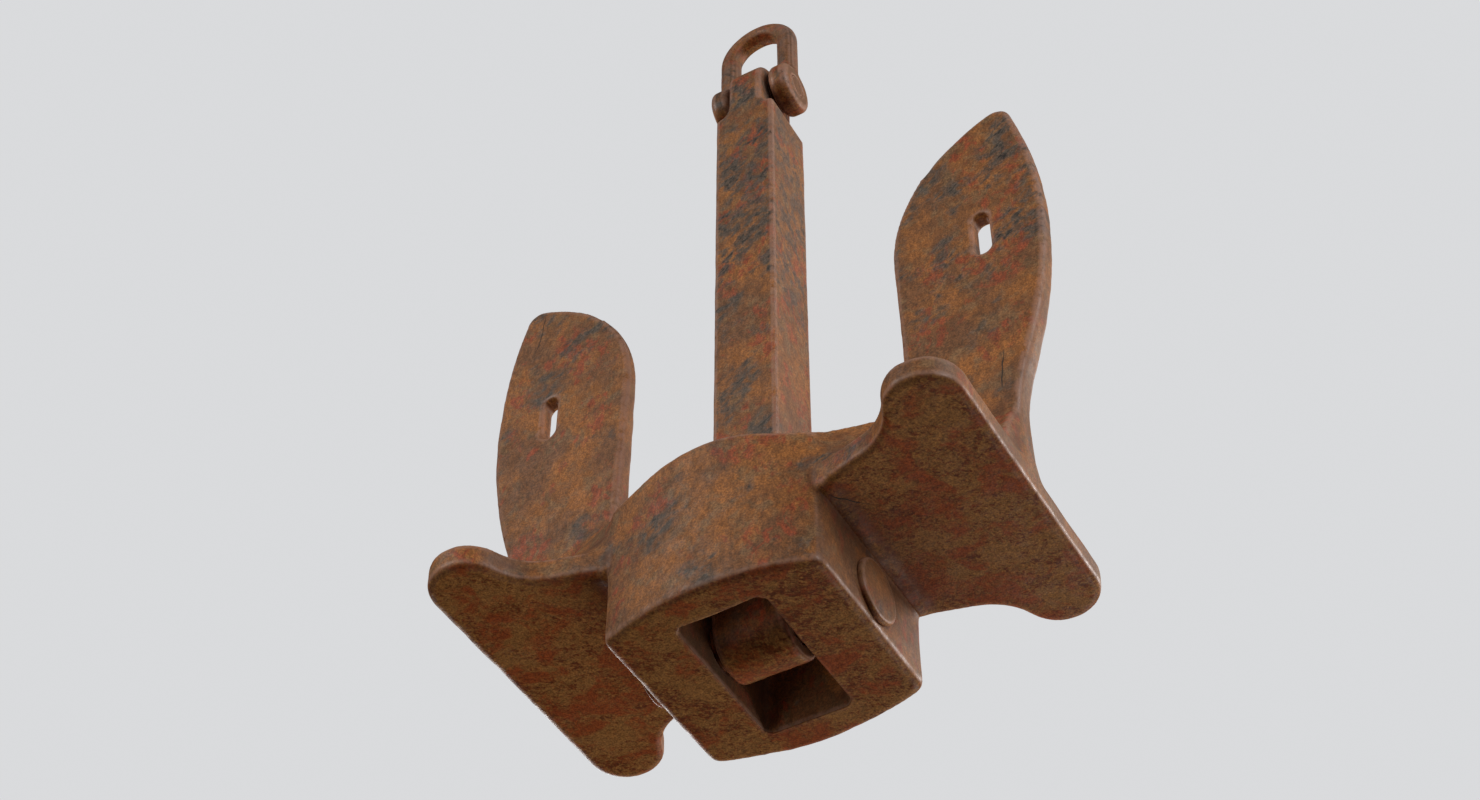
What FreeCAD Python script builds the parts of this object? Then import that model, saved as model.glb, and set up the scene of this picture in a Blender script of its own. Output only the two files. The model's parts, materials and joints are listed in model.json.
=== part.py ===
"""Cast stockless anchor: head with palms and flukes, swinging square shank, and shackle.

Millimetres. The origin is the middle of the head's flat underside. +Z runs up the shank,
X runs from fluke to fluke, and Y runs from front to back.
"""
import FreeCAD, Part
import math
import os
import Sketcher

DRIVING_SIZES = {
    # head: the block that holds the crown pin
    "crown_half_width": 204,
    "crown_half_depth": 222,
    "crown_face_radius": 525,
    "crown_corner_radius": 25,
    "crown_height": 331,
    "crown_top_radius": 400,
    "saddle_offset": 210,
    "saddle_height": 300,
    "crown_edge_radius": 13,
    # well: the opening through the head for the shank's foot
    "well_half_width": 82,
    "well_half_depth": 155,
    "well_flare_height": 175,
    "well_top_half_depth": 195,
    "well_corner_radius": 17,
    # tripping palms
    "palm_bottom": 161,
    "palm_thickness": 52,
    "palm_reach": 504,
    "lobe_radius": 71,
    "lobe_offset": 251,
    "neck_radius": 104,
    "neck_foot_depth": 172,
    "neck_offset": 310,
    "neck_half_depth": 216,
    "palm_edge_radius": 11,
    # flukes, drawn in the XZ plane
    "wing_overlap": 150,
    "arm_height": 272,
    "arm_inner_radius": 60,
    "fluke_inner_foot": 302,
    "fluke_inner_reach": 287,
    "fluke_shoulder": 850,
    "fluke_inner_radius": 338,
    "fluke_tip_radius": 32,
    "fluke_outer_reach": 592,
    "fluke_outer_shoulder": 830,
    "fluke_neck_height": 320,
    "fluke_neck_radius": 390,
    "fluke_root_thickness": 50,
    "fluke_tip_thickness": 26,
    "fluke_taper_start": 400,
    "fluke_taper_end": 1180,
    "fluke_bevel": 6,
    "root_half_depth": 100,
    "root_height": 340,
    "arm_foot_offset": 180,
    "arm_foot_base_depth": 180,
    "arm_foot_top_depth": 181,
    "arm_foot_height": 300,
    "arm_middle_offset": 290,
    "arm_middle_base_depth": 203,
    "arm_middle_top_depth": 100,
    "arm_middle_height": 350,
    "arm_end_offset": 345,
    "arm_end_base_depth": 120,
    "arm_end_top_depth": 25,
    "arm_end_height": 430,
    "slot_offset": 468,
    "slot_height": 822,
    "slot_length": 112,
    "slot_width": 34,
    # crown pin and what holds it
    "crown_pin_height": 73,
    "crown_pin_radius": 40,
    "button_radius": 60,
    "button_rise": 16,
    "button_dome_radius": 450,
    "cap_spigot_length": 25,
    "keeper_radius": 10,
    "keeper_offset": 143,
    "keeper_depth": 62,
    "keeper_inset": 2,
    # shank
    "shank_half_width": 66,
    "shank_half_depth": 69,
    "shank_shoulder": 1456,
    "shank_edge": 5,
    "tongue_half_width": 38,
    "eye_height": 1557,
    # shackle
    "shackle_pin_radius": 25,
    "eye_radius": 57,
    "bar_radius": 22,
    "eye_half_width": 22,
    "leg_offset": 69,
    "leg_top": 1727,
    "eye_edge": 9,
    "forelock_radius": 7,
    "forelock_tip_radius": 6,
    "forelock_front_gap": 16,
    "plug_radius": 8,
    "plug_length": 8,
    # fits
    "running_clearance": 0.06,
    "seat_clearance": 0.02,
}

doc = FreeCAD.newDocument("stockless_anchor")
sheet = doc.addObject("Spreadsheet::Sheet", "sizes")
for row, (word, number) in enumerate(DRIVING_SIZES.items(), start=1):
    sheet.set("A%d" % row, word)
    sheet.set("B%d" % row, str(number))
    sheet.setAlias("B%d" % row, word)
doc.recompute()


class Size:
    """A length together with the sheet expression that gives it."""

    def __init__(self, value, text=None):
        self.value = float(value)
        self.text = str(value) if text is None else text

    def __neg__(self):
        return Size(-self.value, "(-%s)" % self.text)

    def __add__(self, other):
        other = as_size(other)
        return Size(self.value + other.value, "(%s + %s)" % (self.text, other.text))

    def __sub__(self, other):
        other = as_size(other)
        return Size(self.value - other.value, "(%s - %s)" % (self.text, other.text))

    def __mul__(self, other):
        other = as_size(other)
        return Size(self.value * other.value, "(%s * %s)" % (self.text, other.text))

    def __truediv__(self, other):
        other = as_size(other)
        return Size(self.value / other.value, "(%s / %s)" % (self.text, other.text))


def as_size(number):
    return number if isinstance(number, Size) else Size(number)


def leg(long_side, short_side):
    """The other short side of a right-angled triangle."""
    square = long_side * long_side - short_side * short_side
    return Size(math.sqrt(square.value), "sqrt(%s)" % square.text)


def diagonal(width, height):
    """The long side of a right-angled triangle."""
    square = width * width + height * height
    return Size(math.sqrt(square.value), "sqrt(%s)" % square.text)


def cell(word):
    """The named size from the sheet."""
    return Size(float(sheet.get(word)), "sizes." + word)


def bind(target, **properties):
    """Tie properties of an object to the sheet."""
    for name, size in properties.items():
        target.setExpression(name, as_size(size).text)


def place(target, x=0, y=0, z=0):
    """Put an object at a place given by sheet sizes."""
    for axis, size in zip("xyz", (x, y, z)):
        target.setExpression("Placement.Base." + axis, as_size(size).text)


# ---------------------------------------------------------------- sketches and features

def new_body(name):
    body = doc.addObject("PartDesign::Body", name)
    body.Label = name
    return body


def origin_plane(body, role):
    return next(item for item in body.Origin.OriginFeatures if item.Role == role)


def new_sketch(body, name, role, level=0):
    """Empty sketch on one of the body's origin planes, raised by level along its normal."""
    sketch = body.newObject("Sketcher::SketchObject", name)
    sketch.AttachmentSupport = (origin_plane(body, role), [""])
    sketch.MapMode = "FlatFace"
    sketch.setExpression("AttachmentOffset.Base.z", as_size(level).text)
    return sketch


def constrain(sketch, kind, *where, size=None):
    """Add a constraint, bound to the sheet when it has a size."""
    if size is None:
        return sketch.addConstraint(Sketcher.Constraint(kind, *where))
    size = as_size(size)
    number = sketch.addConstraint(Sketcher.Constraint(kind, *where, size.value))
    sketch.setExpression("Constraints[%d]" % number, size.text)
    return number


def pin_point(sketch, geometry, point, x=None, y=None):
    """Fix a sketch point's distances from the sketch origin."""
    if x is not None:
        constrain(sketch, "DistanceX", -1, 1, geometry, point, size=x)
    if y is not None:
        constrain(sketch, "DistanceY", -1, 1, geometry, point, size=y)


UP = FreeCAD.Vector(0, 0, 1)
NEAR = 0.01


def vector(x, y):
    return FreeCAD.Vector(x, y, 0)


def bend(start, end, centre, radius):
    """The shorter arc from start to end about centre, and whether it runs forward."""
    turn = (start[0] - centre[0]) * (end[1] - centre[1]) - (start[1] - centre[1]) * (end[0] - centre[0])
    first, last = (start, end) if turn > 0 else (end, start)
    angles = [math.atan2(point[1] - centre[1], point[0] - centre[0]) for point in (first, last)]
    return Part.ArcOfCircle(Part.Circle(vector(*centre), UP, radius), *angles), turn > 0


def values(pair):
    return tuple(as_size(size).value for size in pair)


def outline(sketch, corners, bends=None):
    """Closed outline through corners (pairs of sizes); bends gives a side its arc's centre and radius."""
    bends = bends or {}
    first = sketch.GeometryCount
    count = len(corners)
    ends = []
    for side in range(count):
        start, end = values(corners[side]), values(corners[(side + 1) % count])
        forward = True
        curve = Part.LineSegment(vector(*start), vector(*end))
        if side in bends:
            centre, radius = bends[side]
            curve, forward = bend(start, end, values(centre), as_size(radius).value)
        sketch.addGeometry(curve)
        ends.append((1, 2) if forward else (2, 1))
    for side in range(count):
        following = (side + 1) % count
        constrain(sketch, "Coincident", first + side, ends[side][1], first + following, ends[following][0])
        pin_point(sketch, first + side, ends[side][0], *corners[side])
    for side, (centre, radius) in bends.items():
        constrain(sketch, "Radius", first + side, size=radius)


def circle(sketch, x, y, radius):
    x, y, radius = as_size(x), as_size(y), as_size(radius)
    number = sketch.addGeometry(Part.Circle(vector(x.value, y.value), UP, radius.value))
    constrain(sketch, "Radius", number, size=radius)
    pin_point(sketch, number, 3, x, y)


def pad(body, sketch, length, midplane=False):
    feature = body.newObject("PartDesign::Pad", sketch.Name + "_pad")
    feature.Profile = sketch
    feature.Midplane = midplane
    bind(feature, Length=length)
    return feature


def cut_through(body, sketch):
    """Pocket through the whole body, both ways from the sketch."""
    feature = body.newObject("PartDesign::Pocket", sketch.Name + "_cut")
    feature.Profile = sketch
    feature.Midplane = True
    feature.Type = 1
    return feature


def loft(body, sketches):
    feature = body.newObject("PartDesign::AdditiveLoft", sketches[0].Name + "_loft")
    feature.Profile = sketches[0]
    feature.Sections = sketches[1:]
    feature.Ruled = True
    return feature


def dress_edges(body, chosen, kind, name):
    """Fillet or chamfer the edges of the body's last feature for which chosen(edge) is true."""
    doc.recompute()
    base = body.Tip
    names = ["Edge%d" % number for number, edge in enumerate(base.Shape.Edges, start=1) if chosen(edge)]
    feature = body.newObject("PartDesign::" + kind, name)
    feature.Base = (base, names)
    return feature


def round_edges(body, chosen, radius, name):
    bind(dress_edges(body, chosen, "Fillet", name), Radius=radius)


def bevel_edges(body, chosen, width, name):
    bind(dress_edges(body, chosen, "Chamfer", name), Size=width)


def edges_at(axis, *levels):
    """Picks edges that lie wholly at one of the levels along an axis."""
    def chosen(edge):
        low = getattr(edge.BoundBox, axis + "Min")
        high = getattr(edge.BoundBox, axis + "Max")
        return any(abs(low - level) < NEAR and abs(high - level) < NEAR for level in levels)
    return chosen


def upright(edge):
    """Picks straight edges along Z."""
    box = edge.BoundBox
    return box.XLength < NEAR and box.YLength < NEAR


# ---------------------------------------------------------------- head

def make_crown():
    """Block with bowed front and back and an arched top."""
    body = new_body("crown")
    side, depth, bow = cell("crown_half_width"), cell("crown_half_depth"), cell("crown_face_radius")
    corner = depth - bow + leg(bow, side)
    plan = new_sketch(body, "crown_plan", "XY_Plane")
    outline(plan, [(side, corner), (-side, corner), (-side, -corner), (side, -corner)],
            {0: ((0, depth - bow), bow), 2: ((0, bow - depth), bow)})
    pad(body, plan, cell("crown_height"))
    round_edges(body, upright, cell("crown_corner_radius"), "crown_corners")

    # the top is a crest arc that touches a hollow arc on each side
    top, low, span = cell("crown_height"), cell("saddle_height"), cell("saddle_offset")
    crest, drop, clear = cell("crown_top_radius"), top - low, top * 2
    both = (span * span + drop * drop) / (drop * 2)
    hollow = both - crest
    touch_x, touch_z = span * crest / both, top - drop * crest / both
    arch = new_sketch(body, "crown_arch", "XZ_Plane")
    outline(arch, [(span, clear), (-span, clear), (-span, low),
                   (-touch_x, touch_z), (touch_x, touch_z), (span, low)],
            {2: ((-span, low + hollow), hollow), 3: ((0, top - crest), crest),
             4: ((span, low + hollow), hollow)})
    cut_through(body, arch)
    round_edges(body, edges_at("Z", 0), cell("crown_edge_radius"), "crown_bottom_edge")
    round_edges(body, lambda edge: edge.BoundBox.ZMin > top.value / 2 and edge.BoundBox.YLength < side.value,
                cell("crown_edge_radius"), "crown_top_edge")
    return body


def draw_palm(body):
    """Butterfly-shaped palm: a round lobe in front and behind, and a hollow neck that narrows to the crown."""
    reach, foot_x, foot_y = cell("palm_reach"), cell("wing_overlap"), cell("neck_foot_depth")
    lobe, lobe_y, hollow = cell("lobe_radius"), cell("lobe_offset"), cell("neck_radius")
    lobe_x, touch = reach - lobe, lobe + hollow

    # the neck's straight edge leads outwards, and the hollow arc touches both it and the lobe
    run, rise = cell("neck_offset") - foot_x, cell("neck_half_depth") - foot_y
    slant = diagonal(run, rise)
    across = ((lobe_y - foot_y) * run - (lobe_x - foot_x) * rise) / slant
    along = ((lobe_x - foot_x) * run + (lobe_y - foot_y) * rise) / slant - leg(touch, hollow - across)
    neck_x, neck_y = foot_x + along * run / slant, foot_y + along * rise / slant
    hollow_x, hollow_y = neck_x - hollow * rise / slant, neck_y + hollow * run / slant
    meet_x = lobe_x + (hollow_x - lobe_x) * lobe / touch
    meet_y = lobe_y + (hollow_y - lobe_y) * lobe / touch
    plan = new_sketch(body, "palm_plan", "XY_Plane", cell("palm_bottom"))
    back = [(reach, lobe_y), (lobe_x, lobe_y + lobe), (meet_x, meet_y), (neck_x, neck_y), (foot_x, foot_y)]
    front = [(x, -y) for x, y in reversed(back)]
    outline(plan, front + back,
            {1: ((hollow_x, -hollow_y), hollow), 2: ((lobe_x, -lobe_y), lobe), 3: ((lobe_x, -lobe_y), lobe),
             5: ((lobe_x, lobe_y), lobe), 6: ((lobe_x, lobe_y), lobe), 7: ((hollow_x, hollow_y), hollow)})
    return plan


def draw_fluke(body):
    """Arm and fluke: hollow corner by the crown, bowed inner and outer edges and a round tip."""
    overlap, arm, corner = cell("wing_overlap"), cell("arm_height"), cell("arm_inner_radius")
    foot_x, inner_x, shoulder = cell("fluke_inner_foot"), cell("fluke_inner_reach"), cell("fluke_shoulder")
    inner, tip = cell("fluke_inner_radius"), cell("fluke_tip_radius")
    outer_x, outer_z = cell("fluke_outer_reach"), cell("fluke_outer_shoulder")
    neck_x, neck_z, neck = cell("palm_reach"), cell("fluke_neck_height"), cell("fluke_neck_radius")
    base = cell("palm_bottom") + cell("palm_thickness") / 2

    # the outer edge is a hollow neck arc and a bowed arc that touch
    swing, climb = outer_x - neck_x, outer_z - neck_z
    both = (swing * swing + climb * climb) / (swing * 2)
    outer = both - neck
    outer_centre, neck_centre = (outer_x - outer, outer_z), (neck_x + neck, neck_z)
    touch = (neck_centre[0] - (both * 2 - swing * 2) * neck / (both * 2), neck_z + climb * neck / both)

    # the tip circle touches the inner and outer arcs from inside
    inner_centre = (inner_x + inner, shoulder)
    run, drop = inner_centre[0] - outer_centre[0], inner_centre[1] - outer_centre[1]
    apart = diagonal(run, drop)
    to_outer, to_inner = outer - tip, inner - tip
    along = (apart * apart + to_outer * to_outer - to_inner * to_inner) / (apart * 2)
    across = leg(to_outer, along)
    tip_x = outer_centre[0] + (run * along - drop * across) / apart
    tip_z = outer_centre[1] + (drop * along + run * across) / apart

    def on_tip(centre, reach):
        """Where the tip circle touches an arc."""
        return (tip_x + (tip_x - centre[0]) * tip / reach, tip_z + (tip_z - centre[1]) * tip / reach)

    profile = new_sketch(body, "fluke_profile", "XZ_Plane")
    outline(profile, [(overlap, base), (overlap, arm), (foot_x - corner, arm), (foot_x, arm + corner),
                      (inner_x, shoulder), on_tip(inner_centre, to_inner), on_tip(outer_centre, to_outer),
                      touch, (neck_x, neck_z), (neck_x, base)],
            {2: ((foot_x - corner, arm + corner), corner), 4: (inner_centre, inner), 5: ((tip_x, tip_z), tip),
             6: (outer_centre, outer), 7: (neck_centre, neck)})
    return profile


def make_palm():
    """The right-hand tripping palm, with soft edges."""
    body = new_body("palm")
    bottom, thickness = cell("palm_bottom"), cell("palm_thickness")
    pad(body, draw_palm(body), thickness)
    level = edges_at("Z", bottom.value, (bottom + thickness).value)
    outside = cell("crown_half_width").value
    round_edges(body, lambda edge: level(edge) and edge.BoundBox.XMax > outside,
                cell("palm_edge_radius"), "palm_edges")
    return body


def make_fluke():
    """The right-hand arm and slotted fluke, thinner towards the tip, on a thick root."""
    body = new_body("fluke")
    root, tip = cell("fluke_root_thickness") / 2, cell("fluke_tip_thickness") / 2
    start, end = cell("fluke_taper_start"), cell("fluke_taper_end")
    pad(body, draw_fluke(body), root * 2, midplane=True)

    taper = new_sketch(body, "fluke_taper", "YZ_Plane")
    for side in (1, -1):
        clear = root * 2 * side
        outline(taper, [(root * side, start), (tip * side, end), (clear, end), (clear, start)])
    cut_through(body, taper)

    slot = new_sketch(body, "fluke_slot", "XZ_Plane")
    middle, height, radius = cell("slot_offset"), cell("slot_height"), cell("slot_width") / 2
    straight = (cell("slot_length") - radius * 2) / 2
    outline(slot, [(middle - radius, height + straight), (middle - radius, height - straight),
                   (middle, height - straight - radius), (middle + radius, height - straight),
                   (middle + radius, height + straight), (middle, height + straight + radius)],
            {1: ((middle, height - straight), radius), 2: ((middle, height - straight), radius),
             4: ((middle, height + straight), radius), 5: ((middle, height + straight), radius)})
    cut_through(body, slot)
    bevel = cell("fluke_bevel")
    bevel_edges(body, lambda edge: edge.BoundBox.ZMin > (start - bevel).value and edge.BoundBox.ZLength > NEAR
                and abs(edge.CenterOfMass.y) > (tip - bevel).value, bevel, "fluke_edges")

    # the root swells towards the palm
    base = cell("palm_bottom") + cell("palm_thickness") / 2
    inner, outer = cell("crown_half_width"), cell("palm_reach")
    edge = cell("palm_edge_radius")
    wide = new_sketch(body, "root_foot", "XY_Plane", base)
    outline(wide, [(inner, -cell("root_half_depth")), (outer - edge, -cell("root_half_depth")),
                   (outer - edge, cell("root_half_depth")), (inner, cell("root_half_depth"))])
    narrow = new_sketch(body, "root_top", "XY_Plane", cell("root_height"))
    outline(narrow, [(cell("fluke_inner_foot"), -root), (outer - edge, -root),
                     (outer - edge, root), (cell("fluke_inner_foot"), root)])
    loft(body, [wide, narrow])

    # the arm narrows upwards, and from the crown's side to the fluke
    sections = []
    for name in ("arm_foot", "arm_middle", "arm_end"):
        low, top, height = cell(name + "_base_depth"), cell(name + "_top_depth"), cell(name + "_height")
        section = new_sketch(body, name, "YZ_Plane", cell(name + "_offset"))
        outline(section, [(-low, base), (low, base), (top, height), (-top, height)])
        sections.append(section)
    loft(body, sections)
    return body


def make_well():
    """The space cut out of the crown: straight below, flared above so that the shank can swing."""
    body = new_body("well")
    depth, flared = cell("well_half_depth"), cell("well_top_half_depth")
    start, top = cell("well_flare_height"), cell("crown_height")
    over = cell("crown_edge_radius")
    side = new_sketch(body, "well_profile", "YZ_Plane")
    outline(side, [(-depth, -over), (depth, -over), (depth, start), (flared, top), (flared, top + over),
                   (-flared, top + over), (-flared, top), (-depth, start)])
    pad(body, side, cell("well_half_width") * 2, midplane=True)
    round_edges(body, lambda edge: edge.BoundBox.XLength < NEAR < edge.BoundBox.ZLength,
                cell("well_corner_radius"), "well_corners")
    return body


def mirrored(source, name):
    """The same shape on the other side of the YZ plane."""
    other = doc.addObject("Part::Mirroring", name)
    other.Source = source
    other.Normal = (1, 0, 0)
    return other


# turns that lay an upright bar down along an axis
LYING = {"X": FreeCAD.Rotation(FreeCAD.Vector(0, 1, 0), 90),
         "Y": FreeCAD.Rotation(FreeCAD.Vector(1, 0, 0), -90)}


def round_bar(name, radius, length, axis, x=0, y=0, z=0):
    """Cylinder along a row axis, starting at a place."""
    bar = doc.addObject("Part::Cylinder", name)
    bind(bar, Radius=radius, Height=length)
    bar.Placement = FreeCAD.Placement(FreeCAD.Vector(), LYING[axis])
    place(bar, x, y, z)
    return bar


def fuse(name, parts):
    joined = doc.addObject("Part::MultiFuse", name)
    joined.Shapes = parts
    joined.Refine = False
    return joined


def cut(name, base, tools):
    """Base with the tools taken away."""
    tool = tools[0] if len(tools) == 1 else fuse(name + "_tools", tools)
    result = doc.addObject("Part::Cut", name)
    result.Base = base
    result.Tool = tool
    result.Refine = False
    return result


def pin_bore(name, radius):
    """Crown pin bore through both cheeks."""
    reach = cell("crown_half_width") * 2
    return round_bar(name, radius, reach * 2, "X", x=-reach, z=cell("crown_pin_height"))


def keeper_bars(name, radius):
    """The two blind bores behind, one in each cheek, or the keepers that fill them."""
    start = -cell("keeper_depth")
    offset, bow = cell("keeper_offset"), cell("crown_face_radius")
    back = cell("crown_half_depth") - bow + leg(bow, offset) - cell("keeper_inset")
    return [round_bar("%s_%s" % (name, side), radius, back - start, "Y", x=offset * sign, y=start,
                      z=cell("crown_pin_height")) for side, sign in (("right", 1), ("left", -1))]


def make_head():
    """One casting: crown, two palms, two arms and two flukes."""
    crown, palm, fluke = make_crown(), make_palm(), make_fluke()
    wings = [palm, mirrored(palm, "palm_left"), fluke, mirrored(fluke, "fluke_left")]
    blank = fuse("head_blank", [crown] + wings)
    fit = cell("keeper_radius") + cell("seat_clearance")
    bores = keeper_bars("keeper_bore", fit)
    for bore in bores:
        bind(bore, Height=cell("crown_half_depth") + cell("keeper_depth"))
    pin = pin_bore("crown_pin_bore", cell("crown_pin_radius") + cell("seat_clearance"))
    return cut("head", blank, [make_well(), pin] + bores)


def make_crown_pin():
    """Plain shaft across the head, cross-drilled for its two keepers."""
    reach = cell("crown_half_width") - cell("cap_spigot_length")
    shaft = round_bar("crown_pin_shaft", cell("crown_pin_radius"), reach * 2, "X", x=-reach,
                      z=cell("crown_pin_height"))
    fit = cell("keeper_radius") + cell("seat_clearance")
    return cut("crown_pin", shaft, keeper_bars("crown_pin_drilling", fit))


def make_cap(name):
    """Domed cap on the head's side, with a spigot in the bore's end."""
    body = new_body(name)
    face, rise = cell("crown_half_width"), cell("button_rise")
    button, dome = cell("button_radius"), cell("button_dome_radius")
    spigot, height = cell("crown_pin_radius"), cell("crown_pin_height")
    rim = rise - dome + leg(dome, button)
    sketch = new_sketch(body, name + "_section", "XZ_Plane")
    inside = face - cell("cap_spigot_length")
    outline(sketch, [(inside, height), (face + rise, height), (face + rim, height + button),
                     (face, height + button), (face, height + spigot), (inside, height + spigot)],
            {1: ((face + rise - dome, height), dome)})
    spin = body.newObject("PartDesign::Revolution", name + "_turned")
    spin.Profile = sketch
    spin.ReferenceAxis = (sketch, ["Edge1"])
    spin.Angle = 360
    return body


def make_caps():
    right = make_cap("cap_right")
    return fuse("crown_pin_caps", [right, mirrored(right, "cap_left")])


def make_keepers():
    return fuse("crown_pin_keepers", keeper_bars("keeper", cell("keeper_radius")))


# ---------------------------------------------------------------- shank

def make_shank():
    """Square forging with a round foot on the crown pin and a narrower tongue for the shackle."""
    body = new_body("shank_forging")
    width, depth = cell("shank_half_width"), cell("shank_half_depth")
    tongue, edge = cell("tongue_half_width"), cell("shank_edge")
    low, high, shoulder = cell("crown_pin_height"), cell("eye_height"), cell("shank_shoulder")
    foot = new_sketch(body, "shank_side", "YZ_Plane")
    outline(foot, [(-depth, low), (0, low - depth), (depth, low), (depth, shoulder), (-depth, shoulder)],
            {0: ((0, low), depth), 1: ((0, low), depth)})
    pad(body, foot, width * 2, midplane=True)
    round_edges(body, edges_at("X", width.value, -width.value), edge, "shank_edges")
    head = new_sketch(body, "tongue_side", "YZ_Plane")
    outline(head, [(-depth, shoulder - depth), (depth, shoulder - depth), (depth, high),
                   (0, high + depth), (-depth, high)],
            {2: ((0, high), depth), 3: ((0, high), depth)})
    pad(body, head, tongue * 2, midplane=True)
    level = edges_at("X", tongue.value, -tongue.value)
    round_edges(body, lambda item: level(item) and item.BoundBox.ZMax > (shoulder + edge).value,
                edge, "tongue_edges")
    run = cell("running_clearance")
    bores = []
    for name, radius, height in (("shank_foot_bore", "crown_pin_radius", low),
                                 ("shank_eye_bore", "shackle_pin_radius", high)):
        bores.append(round_bar(name, cell(radius) + run, width * 4, "X", x=-width * 2, z=height))
    return cut("shank", body, bores)


# ---------------------------------------------------------------- shackle

def make_eye(name):
    """One flat-sided round eye of the shackle, on the right."""
    body = new_body(name)
    middle, half, height = cell("leg_offset"), cell("eye_half_width"), cell("eye_height")
    face = new_sketch(body, name + "_face", "YZ_Plane", middle - half)
    circle(face, 0, height, cell("eye_radius"))
    pad(body, face, half * 2)
    round_edges(body, lambda item: True, cell("eye_edge"), name + "_edges")
    return body


def make_bow():
    """Round bar bent into a bow, with an eye on each end."""
    body = new_body("bow_bar")
    middle, bar = cell("leg_offset"), cell("bar_radius")
    low, high = cell("eye_height"), cell("leg_top")
    path = new_sketch(body, "bow_path", "XZ_Plane")
    points = [(middle, low), (middle, high), (0, high + middle), (-middle, high), (-middle, low)]
    numbers = []
    for side in range(4):
        start, end = values(points[side]), values(points[side + 1])
        forward = True
        curve = Part.LineSegment(vector(*start), vector(*end))
        if side in (1, 2):
            curve, forward = bend(start, end, (0, high.value), middle.value)
        path.addGeometry(curve)
        numbers.append((1, 2) if forward else (2, 1))
    for side in range(4):
        pin_point(path, side, numbers[side][0], *points[side])
        if side < 3:
            constrain(path, "Coincident", side, numbers[side][1], side + 1, numbers[side + 1][0])
    pin_point(path, 3, numbers[3][1], *points[4])
    for side in (1, 2):
        constrain(path, "Radius", side, size=middle)
    section = new_sketch(body, "bow_section", "XY_Plane", low)
    circle(section, middle, 0, bar)
    pipe = body.newObject("PartDesign::AdditivePipe", "bow_pipe")
    pipe.Profile = section
    pipe.Spine = path
    right = make_eye("eye_right")
    blank = fuse("bow_blank", [body, right, mirrored(right, "eye_left")])
    reach = middle * 2
    fit = cell("seat_clearance")
    bores = [round_bar("bow_bore", cell("shackle_pin_radius") + fit, reach * 2, "X", x=-reach, z=low),
             forelock_cone("forelock_hole", fit), plug_bar("plug_hole", fit, over=bar)]
    return cut("shackle_bow", blank, bores)


def forelock_cone(name, fit):
    """Taper pin along Y through the left eye, driven from behind."""
    cone = doc.addObject("Part::Cone", name)
    eye = cell("eye_radius")
    front, back = eye - cell("forelock_front_gap"), eye - cell("plug_length")
    bind(cone, Radius1=cell("forelock_tip_radius") + fit, Radius2=cell("forelock_radius") + fit,
         Height=front + back)
    cone.Placement = FreeCAD.Placement(FreeCAD.Vector(), LYING["Y"])
    place(cone, -cell("leg_offset"), -front, cell("eye_height"))
    return cone


def plug_bar(name, fit, over=0):
    """Soft lead plug that closes the taper pin's hole behind."""
    eye = cell("eye_radius")
    return round_bar(name, cell("plug_radius") + fit, cell("plug_length") + over, "Y", x=-cell("leg_offset"),
                     y=eye - cell("plug_length"), z=cell("eye_height"))


def make_shackle_pin():
    """Straight pin through both eyes and the shank's tongue, drilled for its taper pin."""
    reach = cell("leg_offset") + cell("eye_half_width")
    bar = round_bar("shackle_pin_bar", cell("shackle_pin_radius"), reach * 2, "X", x=-reach,
                    z=cell("eye_height"))
    return cut("shackle_pin", bar, [forelock_cone("shackle_pin_drilling", cell("seat_clearance"))])


# ---------------------------------------------------------------- assembly

nodes = [make_head(), make_crown_pin(), make_caps(), make_keepers(),
         make_shank(),
         make_bow(), make_shackle_pin(), forelock_cone("shackle_forelock", 0), plug_bar("shackle_plug", 0)]
for node in nodes:
    node.Label = node.Name
doc.recompute()

failed = [item.Name for item in doc.Objects if "Invalid" in item.State or "Error" in item.State]
if failed:
    raise RuntimeError("these objects failed: %s" % failed)
os.makedirs("parts", exist_ok=True)
for node in nodes:
    if node.Shape.isNull() or not node.Shape.isValid():
        raise RuntimeError("%s has no valid shape" % node.Label)
    node.Shape.exportStep("parts/%s.step" % node.Label)
    box = node.Shape.BoundBox
    print("%-20s solids %d  volume %.0f  x %.1f..%.1f  y %.1f..%.1f  z %.1f..%.1f" % (
        node.Label, len(node.Shape.Solids), node.Shape.Volume, box.XMin, box.XMax, box.YMin, box.YMax,
        box.ZMin, box.ZMax))
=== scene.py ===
"""Looks of the cast stockless anchor: soft cast and forged meshes under procedural rust.

Metres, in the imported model's frame: X from fluke to fluke, Z up the shank, the front faces -Y.
"""

import json
import math

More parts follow.
